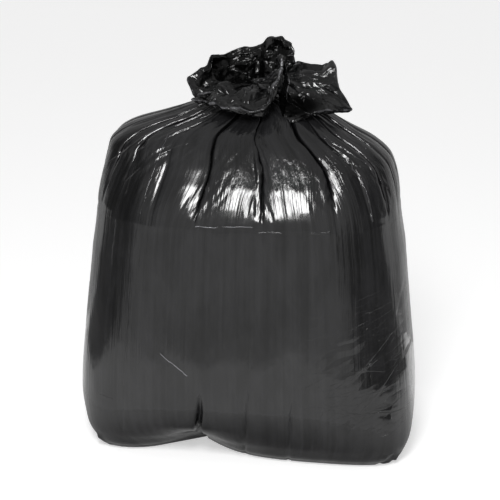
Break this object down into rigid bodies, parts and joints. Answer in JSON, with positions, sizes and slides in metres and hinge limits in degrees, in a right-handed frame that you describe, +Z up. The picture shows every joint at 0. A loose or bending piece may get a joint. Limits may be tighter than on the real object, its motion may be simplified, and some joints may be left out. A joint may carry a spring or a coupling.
{
  "type": "full bin bag",
  "caption": "Full black refuse sack of thin film, standing upright, its gathered neck held by a twist tie under a splayed, crumpled mouth.",
  "frame": {"origin": "on the floor, under the middle of the sack's bounding box", "axes": "+Z up to the mouth, +X along the sack's width to its right, -Y out of its front"},
  "size_m": [0.5385, 0.3165, 0.6523],
  "materials": {
    "sack_film": "thin glossy black polyethylene film, finely creased",
    "tie_ribbon": "black plastic ribbon over a wire core"
  },
  "bodies": {
    "root": {"sack": "sack_film", "twist_tie": "tie_ribbon"}
  },
  "joints": []
}
